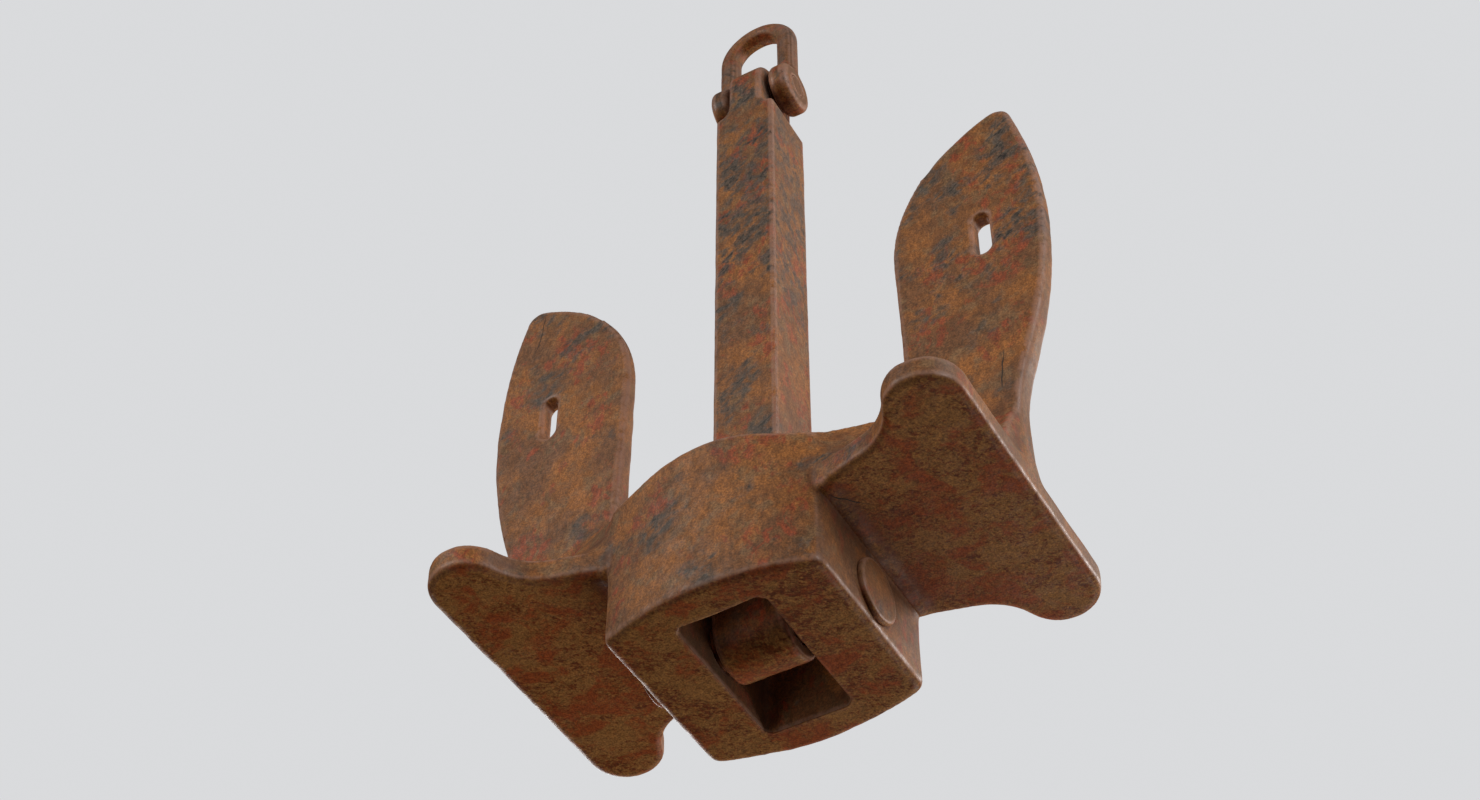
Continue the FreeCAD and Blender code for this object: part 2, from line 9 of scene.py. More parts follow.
import bpy
import numpy as np
import openvdb
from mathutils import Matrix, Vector


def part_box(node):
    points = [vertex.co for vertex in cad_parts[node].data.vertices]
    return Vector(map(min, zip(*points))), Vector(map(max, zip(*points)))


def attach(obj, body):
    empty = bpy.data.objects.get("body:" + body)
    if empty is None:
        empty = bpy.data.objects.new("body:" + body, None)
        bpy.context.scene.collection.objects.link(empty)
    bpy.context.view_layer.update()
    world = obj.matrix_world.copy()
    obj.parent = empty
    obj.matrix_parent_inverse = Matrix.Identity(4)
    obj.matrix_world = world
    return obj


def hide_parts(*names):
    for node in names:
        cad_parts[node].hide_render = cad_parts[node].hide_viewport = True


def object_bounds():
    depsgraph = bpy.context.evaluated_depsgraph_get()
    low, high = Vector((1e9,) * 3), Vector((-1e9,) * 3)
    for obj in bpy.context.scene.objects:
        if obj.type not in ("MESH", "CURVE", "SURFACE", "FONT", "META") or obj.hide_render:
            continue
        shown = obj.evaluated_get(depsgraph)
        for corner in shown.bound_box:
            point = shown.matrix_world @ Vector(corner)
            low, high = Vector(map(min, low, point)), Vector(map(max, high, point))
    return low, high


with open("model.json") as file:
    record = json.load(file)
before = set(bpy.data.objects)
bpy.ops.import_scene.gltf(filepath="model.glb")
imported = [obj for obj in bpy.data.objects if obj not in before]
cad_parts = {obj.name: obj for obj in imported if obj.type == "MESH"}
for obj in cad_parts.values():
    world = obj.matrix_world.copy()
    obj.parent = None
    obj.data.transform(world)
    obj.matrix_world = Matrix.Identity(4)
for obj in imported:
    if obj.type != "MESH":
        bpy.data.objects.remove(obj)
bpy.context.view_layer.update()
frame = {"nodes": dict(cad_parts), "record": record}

MM = 0.001
COARSE = 1
RANDOM_SEED = 7
# bending, per metre, over which an edge or a hollow counts as one
EDGE_BEND = (25, 70)
HOLLOW_BEND = (3, 14)

# how far the pin's caps are sunk in the crown, and the shackle's eyes measured along the pin
CAP_SPIGOT = 25 * MM
EYE_WIDTH = 44 * MM
# the palms' middle height, and their outer edge as measured from the pin's end
PALM_MIDDLE = 187 * MM
PALM_BEYOND_PIN = 325 * MM
SLOT_WIDTH = 34 * MM
SLOT_LENGTH = 112 * MM
# the flukes' half thickness at two heights
FLUKE_TAPER = ((0.4, 1.18), (25 * MM, 13 * MM))
# the zone round the well in which edges stay sharp: beside the shank, and in half depth
SHARP_BESIDE_SHANK = 30 * MM
SHARP_HALF_DEPTH = 175 * MM
CRACK_WANDER = 4 * MM
CRACK_DEPTH = 60 * MM
CRACK_WIDTH = 1.6 * MM
# the shares of a crack's length over which it opens and closes
CRACK_ENDS = (0.2, 0.4)


# ---------------------------------------------------------------- level sets

class Shape:
    """A closed shape held as distances on a regular grid: negative inside, in metres."""

    def __init__(self, distance, origin, voxel):
        self.distance = distance
        self.origin = origin
        self.voxel = voxel

    @classmethod
    def from_mesh(cls, points, triangles, voxel, reach, margin):
        """Distances to a closed triangle mesh, true out to reach on both sides of it."""
        low = np.floor(points.min(0) / voxel).astype(int) - int(margin / voxel)
        high = np.ceil(points.max(0) / voxel).astype(int) + int(margin / voxel)
        transform = openvdb.createLinearTransform(voxelSize=voxel)
        grid = openvdb.FloatGrid.createLevelSetFromPolygons(
            points.astype(np.float32), triangles=triangles.astype(np.uint32), transform=transform,
            halfWidth=reach / voxel + 1)
        distance = np.zeros(high - low + 1, np.float32)
        grid.copyToArray(distance, ijk=tuple(int(number) for number in low))
        return cls(distance, low, voxel)

    def points(self):
        """X, Y and Z of the grid, as arrays that broadcast against each other."""
        axes = [(self.origin[axis] + np.arange(self.distance.shape[axis])) * self.voxel for axis in range(3)]
        return np.meshgrid(*axes, indexing="ij", sparse=True)

    def surface(self, level=0.0):
        """Points, triangles and quads of the surface at a distance."""
        grid = openvdb.FloatGrid(float(self.distance.max()))
        grid.copyFromArray(self.distance, ijk=tuple(int(number) for number in self.origin))
        grid.transform = openvdb.createLinearTransform(voxelSize=self.voxel)
        points, triangles, quads = grid.convertToPolygons(isovalue=level, adaptivity=0.0)
        return points, triangles, quads

    def moved_out(self, level):
        """Distances measured again from the surface at the given distance from this one."""
        points, triangles, quads = self.surface(level)
        split = np.concatenate([triangles, quads[:, [0, 1, 2]], quads[:, [0, 2, 3]]])
        transform = openvdb.createLinearTransform(voxelSize=self.voxel)
        grid = openvdb.FloatGrid.createLevelSetFromPolygons(
            points, triangles=split.astype(np.uint32), transform=transform,
            halfWidth=abs(level) / self.voxel + 3)
        distance = np.zeros_like(self.distance)
        grid.copyToArray(distance, ijk=tuple(int(number) for number in self.origin))
        return distance

    def fill_hollows(self, radius, weight=1.0, only=None):
        """Round concave corners as a ball of the radius would.

        Weight limits it to a part of the grid. The field only, where given, is below zero where the
        shape takes part, so that the ball doesn't bridge to the rest.
        """
        part = self
        if only is not None:
            part = Shape(np.maximum(self.distance, only).astype(np.float32), self.origin, self.voxel)
        closed = part.moved_out(radius) + radius
        filled = np.minimum(self.distance, closed)
        self.distance = (self.distance + (filled - self.distance) * weight).astype(np.float32)

    def round_edges(self, radius, weight=1.0):
        """Round convex edges to the radius; weight limits it to a part of the grid."""
        opened = self.moved_out(-radius) - radius
        self.distance = (self.distance + (opened - self.distance) * weight).astype(np.float32)

    def add(self, field):
        """Fill where the field is below zero."""
        self.distance = np.minimum(self.distance, field).astype(np.float32)

    def carve(self, field, soft=0.0):
        """Take away where the field is below zero, and soften the new edges over a distance."""
        blend = np.maximum(soft - np.abs(self.distance + field), 0) ** 2 / (4 * soft) if soft else 0
        self.distance = (np.maximum(self.distance, -field) + blend).astype(np.float32)

    def curvature_at(self, places, step):
        """How sharply the surface bends at places, per metre: above zero on edges, below zero in hollows."""
        total = -6 * self.sample(places)
        for axis in range(3):
            for side in (step, -step):
                shift = np.zeros(3)
                shift[axis] = side
                total += self.sample(places + shift)
        return total / step ** 2

    def sample(self, places):
        """Distances at places, between the grid's points."""
        scaled = places / self.voxel - self.origin
        scaled = np.clip(scaled, 0, np.array(self.distance.shape) - 1.001)
        base = scaled.astype(int)
        share = scaled - base
        total = np.zeros(len(places))
        for corner in range(8):
            offset = np.array([corner & 1, corner >> 1 & 1, corner >> 2 & 1])
            spot = base + offset
            weight = np.prod(np.where(offset == 1, share, 1 - share), axis=1)
            total += self.distance[spot[:, 0], spot[:, 1], spot[:, 2]] * weight
        return total


def triangles_of(mesh):
    """Vertex positions and triangles of a mesh."""
    mesh.calc_loop_triangles()
    points = np.zeros(len(mesh.vertices) * 3, np.float32)
    mesh.vertices.foreach_get("co", points)
    corners = np.zeros(len(mesh.loop_triangles) * 3, np.int32)
    mesh.loop_triangles.foreach_get("vertices", corners)
    return points.reshape(-1, 3), corners.reshape(-1, 3)


def node_shape(node, voxel, reach, margin=20 * MM):
    """A CAD node as a level set."""
    points, triangles = triangles_of(frame["nodes"][node].data)
    return Shape.from_mesh(points, triangles, voxel, reach, margin)


def round_bar(points, middle, radius, axis):
    """Distances to an endless round bar through a middle, along an axis: 0, 1 or 2."""
    return np.hypot(*(points[number] - middle[number] for number in range(3) if number != axis)) - radius


def named(group, key, name):
    """The entry of a group in the record whose key has the given name."""
    return next(entry for entry in frame["record"][group] if entry[key] == name)


def add_piece(name, shape, node, material, body, layers, step, cracks=()):
    """The surface of a shape as a mesh object that stands for a CAD node and rides on its body.

    Layers are the (spacing, height) pairs of its unevenness. The step is the distance over which
    bending is measured for the edge and hollow masks.
    """
    points, triangles, quads = shape.surface()
    points = points.astype(float)
    bend = shape.curvature_at(points, step)
    faces = [tuple(face) for face in quads[:, ::-1].tolist() + triangles[:, ::-1].tolist()]
    mesh = bpy.data.meshes.new(name)
    mesh.from_pydata(points.tolist(), [], faces)
    mesh.validate()
    mesh.polygons.foreach_set("use_smooth", [True] * len(mesh.polygons))
    roughen(mesh, layers)
    store_mask(mesh, "edge", smooth_step(*EDGE_BEND, bend))
    store_mask(mesh, "hollow", smooth_step(*HOLLOW_BEND, -bend))
    store_cracks(mesh, points, cracks)
    mesh.materials.append(material)
    piece = bpy.data.objects.new(name, mesh)
    bpy.context.scene.collection.objects.link(piece)
    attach(piece, body)
    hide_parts(node)
    return piece


def store_mask(mesh, name, values):
    """A value at each point that the material reads."""
    mesh.attributes.new(name, "FLOAT", "POINT").data.foreach_set("value", values.astype(np.float32))


def store_cracks(mesh, points, cracks):
    """Masks for hairline cracks: the distance across the nearest one, and the stretch where it is open.

    A crack runs from a start to an end over a face with the given normal, bulging and wandering sideways.
    """
    across = np.ones(len(points))
    opened = np.zeros(len(points))
    wander = CRACK_WANDER * lattice_noise(points, 5 * CRACK_WANDER, RANDOM_SEED)
    opening, closing = CRACK_ENDS
    for start, end, bulge, normal in cracks:
        away, run = points - np.array(start), np.subtract(end, start)
        length = np.linalg.norm(run)
        share = away @ run / length ** 2
        aside = away @ np.cross(run / length, normal) - 4 * bulge * share * (1 - share) - wander
        near = (np.abs(away @ np.array(normal)) < CRACK_DEPTH) & (share > 0) & (share < 1)
        near &= np.abs(aside) < np.abs(across)
        across = np.where(near, aside, across)
        between = smooth_step(0, opening, share) * smooth_step(0, closing, 1 - share)
        opened = np.where(near, between, opened)
    store_mask(mesh, "crack_side", across)
    store_mask(mesh, "crack_open", opened)


def smooth_step(low, high, value):
    """Zero up to low, one from high on, and smooth between."""
    share = np.clip((value - low) / (high - low), 0, 1)
    return share * share * (3 - 2 * share)


# ---------------------------------------------------------------- surface unevenness

def lattice_noise(points, spacing, seed):
    """Smooth random values from -1 to 1 on a cubic lattice of the given spacing."""
    scaled = points / spacing + seed * 17.31
    base = np.floor(scaled).astype(np.int64)
    share = scaled - base
    share = share * share * (3 - 2 * share)
    total = np.zeros(len(points))
    for corner in range(8):
        offset = np.array([corner & 1, corner >> 1 & 1, corner >> 2 & 1])
        cell = base + offset
        mixed = cell[:, 0] * 374761393 + cell[:, 1] * 668265263 + cell[:, 2] * 2147483647 + seed * 974711
        mixed = (mixed ^ (mixed >> 13)) * 1274126177
        value = ((mixed ^ (mixed >> 16)) & 0xFFFF) / 32767.5 - 1
        total += value * np.prod(np.where(offset == 1, share, 1 - share), axis=1)
    return total


def roughen(mesh, layers):
    """Push each point along its normal by layers of (spacing, height) noise."""
    count = len(mesh.vertices)
    points = np.zeros(count * 3, np.float32)
    mesh.vertices.foreach_get("co", points)
    points = points.reshape(-1, 3).astype(float)
    normals = np.zeros(count * 3, np.float32)
    mesh.vertex_normals.foreach_get("vector", normals)
    push = sum(height * lattice_noise(points, spacing, RANDOM_SEED + number)
               for number, (spacing, height) in enumerate(layers))
    points += normals.reshape(-1, 3) * push[:, None]
    mesh.vertices.foreach_set("co", points.astype(np.float32).ravel())
    mesh.update()


# ---------------------------------------------------------------- materials

OCHRE = (0.38, 0.14, 0.034)
BROWN = (0.22, 0.09, 0.033)
TAN = (0.26, 0.145, 0.064)
RED = (0.36, 0.072, 0.024)
SCALE = (0.11, 0.092, 0.075)
BLACK = (0.025, 0.022, 0.018)
# pale pink of rubbed edges: partly real wear, partly a painted highlight
WORN_EDGE_AND_HIGHLIGHT = (0.5, 0.27, 0.19)
# dark of the hollows: partly dirt, partly painted shade
HOLLOW_DIRT_AND_SHADE = (0.12, 0.035, 0.014)
UNDER_DARK = (0.14, 0.032, 0.007)
UNDER_TAN = (0.27, 0.113, 0.029)
UNDER_SHADE = (0.07, 0.014, 0.003)
UNDER_RED = (0.24, 0.038, 0.007)
# pale pink of a painted sheen on faces that look to +X
PAINTED_SIDE_SHEEN = (0.31, 0.175, 0.115)
LEAD = (0.3, 0.3, 0.31)

# dark scale gets commoner from the first height to the second, as measured along a leaning line
DARKER_HEIGHTS = (0.6, 1.2)
DARKER_LEAN = (0.3, 0, 1)
# strokes on upright faces climb to the right; streaks below run across the view
STROKE_TURN = (0, math.radians(-36), 0)
UNDER_TURN = (0, 0, math.radians(30))


class Paint:
    """Node graph of one procedural material."""

    def __init__(self, name, seed):
        self.material = bpy.data.materials.new(name)
        self.material.use_nodes = True
        self.tree = self.material.node_tree
        self.surface = self.tree.nodes["Principled BSDF"]
        self.spot = self.add("TexCoord")
        self.seed = seed

    def add(self, kind, values=None, **settings):
        node = self.tree.nodes.new("ShaderNode" + kind)
        for key, value in settings.items():
            setattr(node, key, value)
        for socket, value in (values or {}).items():
            self.feed(node.inputs[socket], value)
        return node

    def feed(self, socket, value):
        if isinstance(value, bpy.types.NodeSocket):
            self.tree.links.new(value, socket)
        else:
            socket.default_value = value

    def cloud(self, size, detail=5, stretch=(1, 1, 1), turn=(0, 0, 0), wander=0):
        """Cloudy values around a half, with features of about the given size in metres."""
        self.seed += 1.37
        moved = self.add("Mapping", {"Vector": self.spot.outputs["Object"], "Location": (self.seed,) * 3,
                                     "Rotation": turn, "Scale": stretch}, vector_type="TEXTURE")
        noise = self.add("TexNoise", {"Vector": moved.outputs[0], "Scale": 1 / size, "Detail": detail,
                                      "Roughness": 0.62, "Distortion": wander})
        return noise.outputs[0]

    def above(self, value, low, high, bottom=0, top=1):
        """Bottom where the value is under low, top where it is over high, and smooth between."""
        node = self.add("MapRange", {"Value": value, "From Min": low, "From Max": high, "To Min": bottom,
                                     "To Max": top}, interpolation_type="SMOOTHSTEP")
        return node.outputs[0]

    def math(self, kind, first, second):
        node = self.add("Math", operation=kind)
        self.feed(node.inputs[0], first)
        self.feed(node.inputs[1], second)
        return node.outputs[0]

    def both(self, *shares):
        """Product of shares."""
        result = shares[0]
        for share in shares[1:]:
            result = self.math("MULTIPLY", result, share)
        return result

    def mix(self, share, first, second, kind="MIX"):
        """First colour, with the second over it by a share."""
        node = self.add("Mix", data_type="RGBA", blend_type=kind)
        self.feed(node.inputs[0], share)
        for socket, colour in ((node.inputs[6], first), (node.inputs[7], second)):
            self.feed(socket, (*colour, 1) if isinstance(colour, tuple) else colour)
        return node.outputs[2]

    def mask(self, name):
        """One of the masks that a mesh carries."""
        return self.add("Attribute", attribute_name=name).outputs["Fac"]

    def lean(self):
        """How far up the leaning line a place lies."""
        line = {0: self.spot.outputs["Object"], 1: DARKER_LEAN}
        return self.add("VectorMath", line, operation="DOT_PRODUCT").outputs["Value"]

    def grey(self, level):
        """A grey colour of a level."""
        return self.add("CombineColor", {0: level, 1: level, 2: level}).outputs[0]

    def facing(self):
        """X, Y and Z of the surface's direction."""
        return self.add("SeparateXYZ", {"Vector": self.spot.outputs["Normal"]}).outputs


def upright_colour(paint, dark, red):
    """Ochre and brown clouds with red oxide patches and dark hatched scale."""
    colour = paint.mix(paint.above(paint.cloud(0.11, 8), 0.42, 0.6), BROWN, OCHRE)
    colour = paint.mix(paint.above(paint.cloud(0.035, 7, wander=0.4), 0.48, 0.66, top=0.75), colour, TAN)
    red_area = paint.above(paint.cloud(0.1, 4), 0.58 - red, 0.66 - red)
    red_spots = paint.above(paint.cloud(0.022, 8, stretch=(1, 1, 1.5), wander=0.5), 0.46, 0.58)
    colour = paint.mix(paint.both(red_area, red_spots, 0.85), colour, RED)
    # grey scale lies in soft patches, and short black strokes in the middle of these
    patches = paint.cloud(0.1, 6, stretch=(1.3, 1, 1), turn=STROKE_TURN)
    place = paint.math("ADD", patches, paint.above(paint.lean(), *DARKER_HEIGHTS, -0.06, 0.075))
    flakes = paint.cloud(0.024, 8, stretch=(1.6, 1, 1), turn=STROKE_TURN, wander=0.5)
    scale = paint.both(paint.above(place, 0.55 - dark, 0.66 - dark), paint.above(flakes, 0.4, 0.58))
    colour = paint.mix(paint.both(scale, 0.85), colour, SCALE)
    strokes = paint.above(paint.cloud(0.006, 4, stretch=(3, 1, 1), turn=STROKE_TURN, wander=0.8), 0.48, 0.58)
    black = paint.both(paint.above(place, 0.6 - dark, 0.68 - dark), paint.above(flakes, 0.48, 0.6), strokes)
    return paint.mix(paint.both(black, 0.9), colour, BLACK), scale


def under_colour(paint):
    """Tan with dark red patches and fine dark speckle in short streaks, with painted shade in deep corners.
    """
    speckle = paint.cloud(0.005, 5, stretch=(1.7, 1, 1), turn=UNDER_TURN, wander=0.8)
    blots = paint.cloud(0.03, 9, stretch=(1.5, 1, 1), turn=UNDER_TURN, wander=0.5)
    wide = paint.cloud(0.16, 4)
    level = paint.math("ADD", paint.both(speckle, 0.45), paint.math("ADD", paint.both(blots, 0.3),
                                                                   paint.both(wide, 0.25)))
    colour = paint.mix(paint.above(level, 0.43, 0.52), UNDER_DARK, UNDER_TAN)
    red = paint.above(paint.cloud(0.08, 10, wander=0.5), 0.47, 0.58, top=0.8)
    colour = paint.mix(paint.both(red, paint.above(blots, 0.36, 0.56)), colour, UNDER_RED)
    # painted shade where ambient occlusion finds the surface closed in
    open_sky = paint.add("AmbientOcclusion", {"Distance": 0.2}, samples=6).outputs["AO"]
    return paint.mix(paint.above(open_sky, 0.3, 0.95, 0.9, 0), colour, UNDER_SHADE)


def rust(name, seed, dark=0.08, red=0.06, relief=0.8 * MM, tone=1):
    """Weathered rust that differs between upright faces and undersides, with rubbed edges that also carry a
    painted highlight.
    """
    paint = Paint(name, seed)
    colour, scale = upright_colour(paint, dark, red)
    below = paint.above(paint.facing()[2], -0.35, -0.75)
    colour = paint.mix(below, colour, under_colour(paint))
    grain = paint.cloud(0.0035, 4)
    brush = paint.cloud(0.009, 5, stretch=(1, 1, 2))
    shade = paint.both(paint.above(grain, 0.3, 0.7, 0.6, 1.4), paint.above(brush, 0.3, 0.7, 0.75, 1.25), tone)
    colour = paint.mix(1.0, colour, paint.grey(shade), "MULTIPLY")
    # hollows darkened: partly dirt, partly painted shade
    colour = paint.mix(paint.both(paint.mask("hollow"), 0.45), colour, HOLLOW_DIRT_AND_SHADE)
    # painted sheen: faces that look to +X are made paler and pinker
    colour = paint.mix(paint.above(paint.facing()[0], 0.6, 0.9, top=0.3), colour, PAINTED_SIDE_SHEEN)
    upright = paint.math("SUBTRACT", 1, paint.both(below, 0.8))
    # rubbed edges, partly real wear and partly a painted highlight, kept off the undersides
    wear_and_highlight = paint.both(paint.mask("edge"), paint.above(paint.cloud(0.02, 6), 0.3, 0.55), upright, 0.55)
    colour = paint.mix(wear_and_highlight, colour, WORN_EDGE_AND_HIGHLIGHT)
    from_crack = paint.math("ABSOLUTE", paint.mask("crack_side"), 0)
    slit = paint.above(from_crack, 0.3 * CRACK_WIDTH, CRACK_WIDTH, 1, 0)
    slit = paint.both(slit, paint.mask("crack_open"))
    colour = paint.mix(paint.both(slit, 0.9), colour, BLACK)
    paint.feed(paint.surface.inputs["Base Color"], colour)
    paint.feed(paint.surface.inputs["Specular IOR Level"], paint.both(upright, 0.4))
    rough = paint.above(paint.cloud(0.02, 5), 0.3, 0.7, 0.46, 0.68)
    paint.feed(paint.surface.inputs["Roughness"], paint.math("SUBTRACT", rough, paint.both(wear_and_highlight, 0.25)))
    pits = paint.above(paint.cloud(0.012, 5), 0.3, 0.62)
    height = paint.math("ADD", paint.both(pits, 0.5), paint.both(grain, 0.35))
    height = paint.math("SUBTRACT", height, paint.math("ADD", paint.both(scale, 0.25), slit))
    bump = paint.add("Bump", {"Strength": 0.5, "Distance": relief, "Height": height})
    paint.feed(paint.surface.inputs["Normal"], bump.outputs[0])
    return paint.material


def lead(name, seed):
    """Dull grey soft metal with rust stains and hammer marks."""
    paint = Paint(name, seed)
    stain = paint.above(paint.cloud(0.006, 4), 0.45, 0.65, top=0.7)
    paint.feed(paint.surface.inputs["Base Color"], paint.mix(stain, LEAD, BROWN))
    paint.feed(paint.surface.inputs["Roughness"], paint.above(stain, 0, 1, 0.4, 0.7))
    paint.feed(paint.surface.inputs["Metallic"], paint.above(stain, 0, 1, 0.6, 0))
    bump = paint.add("Bump", {"Strength": 0.5, "Distance": 0.5 * MM, "Height": paint.cloud(0.004, 3)})
    paint.feed(paint.surface.inputs["Normal"], bump.outputs[0])
    return paint.material


CASTING = rust("rusted_casting", 1.0, dark=0.06, red=0.06)
FORGING = rust("rusted_forging", 7.0, dark=0.09, red=0.08)
SMALL_FORGING = rust("rusted_shackle", 13.0, dark=0.03, red=0.12, relief=0.5 * MM, tone=0.75)
PLUG_METAL = lead("stained_lead", 19.0)


# ---------------------------------------------------------------- pieces

HEAD_EDGE = 7 * MM
PALM_HOLLOW = 70 * MM
UNDER_HOLLOW = 26 * MM

# (spacing, height) pairs of the surfaces' unevenness
CAST_LAYERS = [(110 * MM, 1.3 * MM), (38 * MM, 0.6 * MM), (15 * MM, 0.25 * MM)]
FORGED_LAYERS = [(90 * MM, 0.6 * MM), (30 * MM, 0.35 * MM), (12 * MM, 0.15 * MM)]
SMALL_LAYERS = [(25 * MM, 0.3 * MM), (9 * MM, 0.12 * MM)]
PIN_LAYERS = [(12 * MM, 0.2 * MM)]
KEEPER_LAYERS = [(6 * MM, 0.2 * MM)]
TAPER_LAYERS = [(6 * MM, 0.1 * MM)]
LEAD_LAYERS = [(4 * MM, 0.25 * MM)]


def crown_cheek():
    """Half width of the crown, at its cheeks beside the caps."""
    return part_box("crown_pin")[1].x + CAP_SPIGOT


def middle_and_radius(node):
    """Middle height and radius of a round node that lies flat."""
    low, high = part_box(node)
    return (high.z + low.z) / 2, (high.z - low.z) / 2


def fill_head_hollows(shape):
    """Broad hollows above the palms, round the flukes' roots, and small ones below the palms."""
    x, _, z = shape.points()
    cheek = crown_cheek()
    above = smooth_step(PALM_MIDDLE, PALM_MIDDLE + 25 * MM, z)
    near_cheek = smooth_step(cheek - 20 * MM, cheek + 20 * MM, np.abs(x))
    shape.fill_hollows(UNDER_HOLLOW, near_cheek * (1 - above))
    beside = smooth_step(cheek - 70 * MM, cheek, np.abs(x))
    low_part = 1 - smooth_step(600 * MM, 700 * MM, z)
    shape.fill_hollows(PALM_HOLLOW, beside * above * low_part)


def sharp_head_rims(shape):
    """Zero at the well's lower rim and the keepers' holes, whose edges stay sharp, and one elsewhere."""
    x, y, z = shape.points()
    well_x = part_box("shank")[1].x + SHARP_BESIDE_SHANK
    past_x = smooth_step(well_x, well_x + 20 * MM, np.abs(x))
    past_y = smooth_step(SHARP_HALF_DEPTH, SHARP_HALF_DEPTH + 20 * MM, np.abs(y))
    past_well = np.maximum(np.maximum(past_x, past_y), smooth_step(100 * MM, 150 * MM, z))
    height, radius = middle_and_radius("crown_pin_keepers")
    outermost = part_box("crown_pin_keepers")[1].x
    from_keeper = np.hypot(np.abs(x) - outermost + radius, z - height) - radius
    # the keepers' holes open on the back only
    past_keepers = np.maximum(smooth_step(HEAD_EDGE, 2 * HEAD_EDGE, from_keeper), y < 0)
    return past_well * past_keepers


def build_head():
    """Head casting with soft hollows and edges, deep slots and hairline cracks."""
    shape = node_shape("head", 4 * MM * COARSE, PALM_HOLLOW + 12 * MM, margin=PALM_HOLLOW + 20 * MM)
    x, y, z = shape.points()
    fill_head_hollows(shape)
    # the flukes' slots are filled, then cut again with deep walls
    slot = fluke_slots(x, z)
    shape.add(np.maximum(slot - 14 * MM, np.abs(y) - np.interp(z, *FLUKE_TAPER)))
    shape.round_edges(HEAD_EDGE, sharp_head_rims(shape))
    shape.carve(slot, soft=8 * MM)
    add_piece("cast_head", shape, "head", CASTING, "head", CAST_LAYERS, 8 * MM, head_cracks())


def fluke_slots(x, z):
    """Distances to the two upright slots with round ends, in the XZ plane."""
    middle = named("mounts", "name", "right_fluke_slot")["pos_m"]
    beyond = np.maximum(np.abs(z - middle[2]) - (SLOT_LENGTH - SLOT_WIDTH) / 2, 0)
    return np.hypot(np.abs(x) - middle[0], beyond) - SLOT_WIDTH / 2


def head_cracks():
    """Hairline cracks below the right palm, at the right fluke's root and by the left fluke's tip."""
    low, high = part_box("head")
    cheek = crown_cheek()
    face = PALM_MIDDLE - 26 * MM
    palm_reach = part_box("crown_pin")[1].x + PALM_BEYOND_PIN
    root = PALM_MIDDLE + 200 * MM
    # each has a start, an end, a bulge to one side and the normal of its face
    return [
        ((cheek + 10 * MM, -170 * MM, face), (cheek + 60 * MM, -100 * MM, face), -8 * MM, (0, 0, 1)),
        ((palm_reach - 22 * MM, 0, root), (palm_reach - 12 * MM, 0, root + 120 * MM), 4 * MM, (0, 1, 0)),
        ((low.x + 90 * MM, 0, high.z - 10 * MM), (low.x + 63 * MM, 0, high.z - 160 * MM), 8 * MM, (0, 1, 0)),
    ]


def build_piece(name, node, voxel, edge, material, body, layers):
    """A node with softened edges."""
    shape = node_shape(node, voxel, edge + 6 * voxel, margin=edge + 8 * voxel)
    shape.round_edges(edge)
    add_piece(name, shape, node, material, body, layers, 2.5 * voxel)


def build_shank():
    """Square shank: sloped shoulders beside the tongue, soft edges."""
    slope = 30 * MM
    shape = node_shape("shank", 3 * MM * COARSE, slope + 15 * MM, margin=slope + 20 * MM)
    z = shape.points()[2]
    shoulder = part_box("shackle_pin")[0].z - 150 * MM
    shape.fill_hollows(slope, smooth_step(shoulder, shoulder + 20 * MM, z))
    shape.round_edges(6 * MM)
    add_piece("shank_bar", shape, "shank", FORGING, "shank", FORGED_LAYERS, 7.5 * MM)


def build_bow():
    """Bow whose legs flare into the eyes, one leg at a time, with crisp holes for its pin and plug."""
    flare = 60 * MM
    shape = node_shape("shackle_bow", 2.5 * MM, flare + 8 * MM, margin=flare + 12 * MM)
    x, y, z = shape.points()
    low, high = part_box("shackle_bow")
    pin_height, bore = middle_and_radius("shackle_pin")
    leg_top = high.z - high.x
    from_pin = np.hypot(y, z - pin_height)
    across = np.maximum(np.abs(x) - high.x, high.x - EYE_WIDTH - np.abs(x))
    shape.add(np.maximum(from_pin - (pin_height - low.z), across))
    near_eyes = 1 - smooth_step(leg_top - 60 * MM, leg_top, z)
    for side in (1, -1):
        shape.fill_hollows(flare, near_eyes * (side * x > 0), only=high.x / 4 - side * x)
    shape.round_edges(12 * MM)
    shape.carve(from_pin - bore)
    low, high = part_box("shackle_plug")
    plug = round_bar(shape.points(), (low + high) / 2, middle_and_radius("shackle_plug")[1], axis=1)
    shape.carve(np.maximum(plug, low.y - y))
    add_piece("shackle_bow_bar", shape, "shackle_bow", SMALL_FORGING, "shackle", SMALL_LAYERS, 5 * MM)


build_head()
build_shank()
build_bow()
build_piece("pin_caps", "crown_pin_caps", 1.5 * MM, 4 * MM, CASTING, "head", SMALL_LAYERS)
build_piece("pin_shaft", "crown_pin", 2 * MM, 3 * MM, FORGING, "head", SMALL_LAYERS)
build_piece("pin_keepers", "crown_pin_keepers", 1 * MM, 2 * MM, SMALL_FORGING, "head", KEEPER_LAYERS)
build_piece("shackle_pin_bar", "shackle_pin", 1.5 * MM, 2 * MM, SMALL_FORGING, "shackle", PIN_LAYERS)
build_piece("forelock_taper", "shackle_forelock", 0.8 * MM, 1.5 * MM, SMALL_FORGING, "shackle", TAPER_LAYERS)
build_piece("lead_seal", "shackle_plug", 0.7 * MM, 1.4 * MM, PLUG_METAL, "shackle", LEAD_LAYERS)


# ---------------------------------------------------------------- stage

FLOOR_WIDTH = 12
FLOOR_GAP = 2 * MM
# the view from in front, to the right and below
CAMERA_PLACE = (1.4838, -2.6682, -2.6045)
CAMERA_AZIMUTH = math.radians(29.86)
CAMERA_ELEVATION = math.radians(-46.76)
LENS_MM = 58.98
SENSOR_MM = 36
FAR_CLIP = 100
LAMPS_AIM = (0, 0, 0.7)
# the backdrop's brightness as the camera sees it, and as light from straight below and above
BACKDROP = 0.72
SKY_BELOW = 0.05
SKY_ABOVE = 0.14
SKY_COLOUR = (0.97, 0.98, 1, 1)


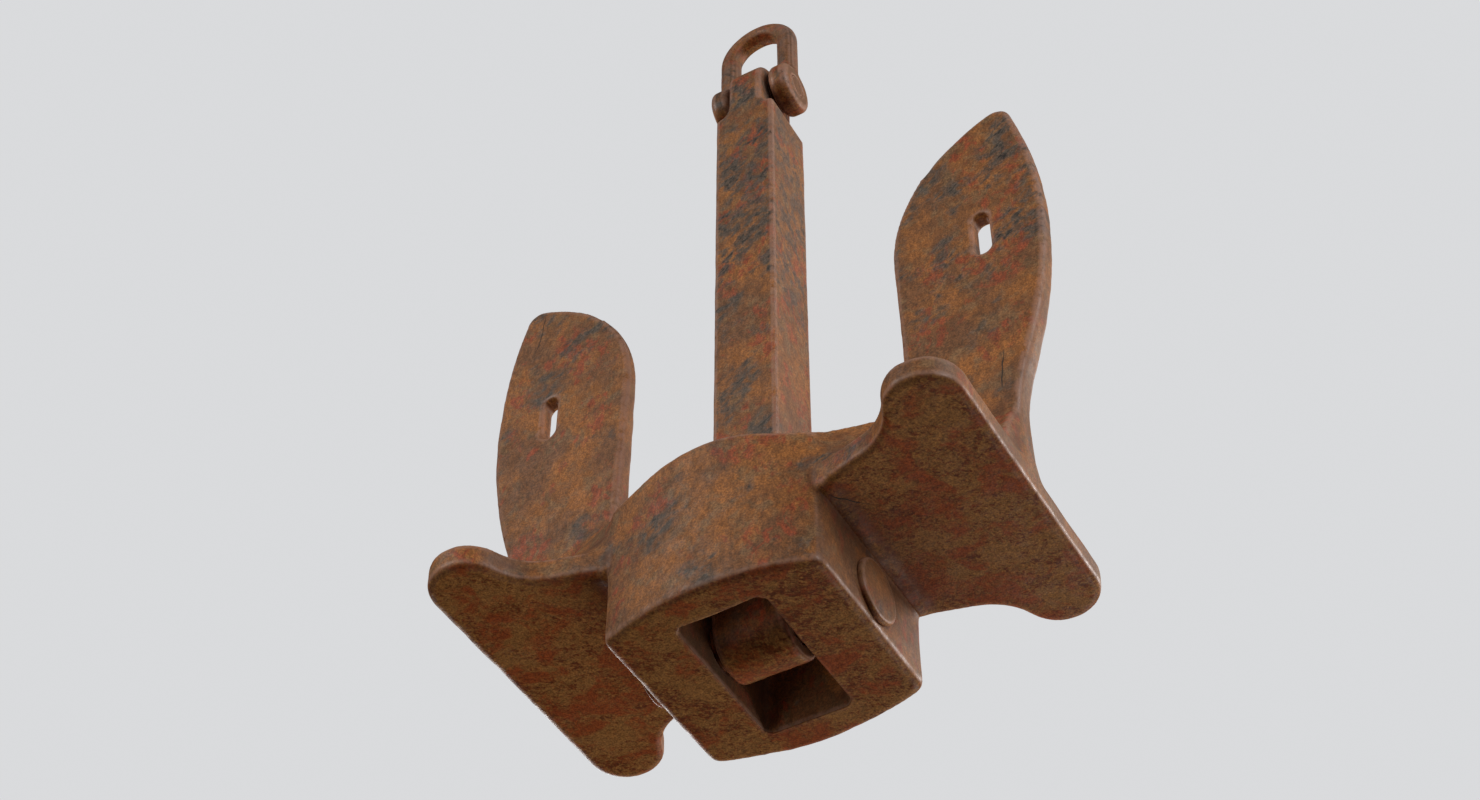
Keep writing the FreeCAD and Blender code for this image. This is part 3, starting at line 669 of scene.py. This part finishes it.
def build_floor():
    """Grey floor just under the anchor. It is clear from below, where the camera looks from."""
    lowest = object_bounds()[0][2]
    bpy.ops.mesh.primitive_plane_add(size=FLOOR_WIDTH, location=(0, 0, lowest - FLOOR_GAP))
    floor = bpy.context.object
    floor.name = "floor"
    paint = Paint("floor_paint", 23.0)
    shade = paint.above(paint.cloud(0.5, 3), 0.3, 0.7, 0.6, 0.64)
    paint.feed(paint.surface.inputs["Base Color"], paint.grey(shade))
    paint.feed(paint.surface.inputs["Roughness"], 0.7)
    behind = paint.add("NewGeometry").outputs["Backfacing"]
    clear = paint.add("MixShader", {0: behind, 1: paint.surface.outputs[0],
                                    2: paint.add("BsdfTransparent").outputs[0]})
    output = next(node for node in paint.tree.nodes if node.type == "OUTPUT_MATERIAL")
    paint.feed(output.inputs["Surface"], clear.outputs[0])
    floor.data.materials.append(paint.material)
    for ray in ("diffuse", "glossy", "shadow", "transmission"):
        setattr(floor, "visible_" + ray, False)


def build_camera():
    """Camera that looks up at the anchor from in front and the right."""
    camera = bpy.data.cameras.new("camera")
    camera.lens = LENS_MM
    camera.sensor_width = SENSOR_MM
    camera.clip_end = FAR_CLIP
    viewer = bpy.data.objects.new("camera", camera)
    level = math.cos(CAMERA_ELEVATION)
    forward = Vector((-math.sin(CAMERA_AZIMUTH) * level, math.cos(CAMERA_AZIMUTH) * level,
                      -math.sin(CAMERA_ELEVATION)))
    viewer.rotation_euler = forward.to_track_quat("-Z", "Y").to_euler()
    viewer.location = Vector(CAMERA_PLACE)
    bpy.context.scene.collection.objects.link(viewer)
    bpy.context.scene.camera = viewer


def light(name, place, size, power, colour=(1, 1, 1)):
    """Square soft lamp, in metres and watts, aimed at the anchor."""
    lamp = bpy.data.lights.new(name, "AREA")
    lamp.size = size
    lamp.energy = power
    lamp.color = colour
    holder = bpy.data.objects.new(name, lamp)
    holder.location = place
    holder.rotation_euler = (Vector(LAMPS_AIM) - Vector(place)).to_track_quat("-Z", "Y").to_euler()
    bpy.context.scene.collection.objects.link(holder)
    return holder


def keep_off_floor(lamps):
    """Low lamps would burn out the floor beside them, so their light leaves it out."""
    unlit = bpy.data.collections.new("unlit_floor")
    unlit.objects.link(bpy.data.objects["floor"])
    unlit.collection_objects[0].light_linking.link_state = "EXCLUDE"
    for lamp in lamps:
        lamp.light_linking.receiver_collection = unlit


def build_lights():
    """Pale backdrop, soft light all round that is weaker from below, and soft lamps."""
    world = bpy.data.worlds.new("world")
    bpy.context.scene.world = world
    world.use_nodes = True
    tree = world.node_tree
    new = tree.nodes.new
    direction = new("ShaderNodeSeparateXYZ")
    tree.links.new(new("ShaderNodeTexCoord").outputs["Generated"], direction.inputs[0])
    level = new("ShaderNodeMapRange")
    level.inputs["From Min"].default_value = -1
    level.inputs["To Min"].default_value = SKY_BELOW
    level.inputs["To Max"].default_value = SKY_ABOVE
    tree.links.new(direction.outputs[2], level.inputs[0])
    seen = new("ShaderNodeLightPath").outputs["Is Camera Ray"]
    strength = new("ShaderNodeMix")
    strength.inputs[3].default_value = BACKDROP
    tree.links.new(seen, strength.inputs[0])
    tree.links.new(level.outputs[0], strength.inputs[2])
    tree.links.new(strength.outputs[0], tree.nodes["Background"].inputs[1])
    tree.nodes["Background"].inputs[0].default_value = SKY_COLOUR
    light("key", (-2.2, -4, 2.4), 2.2, 84, (1, 0.97, 0.92))
    light("right", (3.6, -0.8, 2.8), 2, 40)
    light("below", (-2.4, -2.8, -2), 2.2, 22)
    light("rim_back", (0.4, 3.4, -1.6), 1.2, 80)
    keep_off_floor([
        light("side", (4, -1.6, 0.62), 1.2, 46),
        light("rim_right", (2.8, 3, 1.4), 1.2, 80),
        light("rim_left", (-3, 2.5, 0.6), 1.2, 80),
    ])


build_floor()
build_camera()
build_lights()
bpy.context.scene.view_settings.view_transform = "Standard"
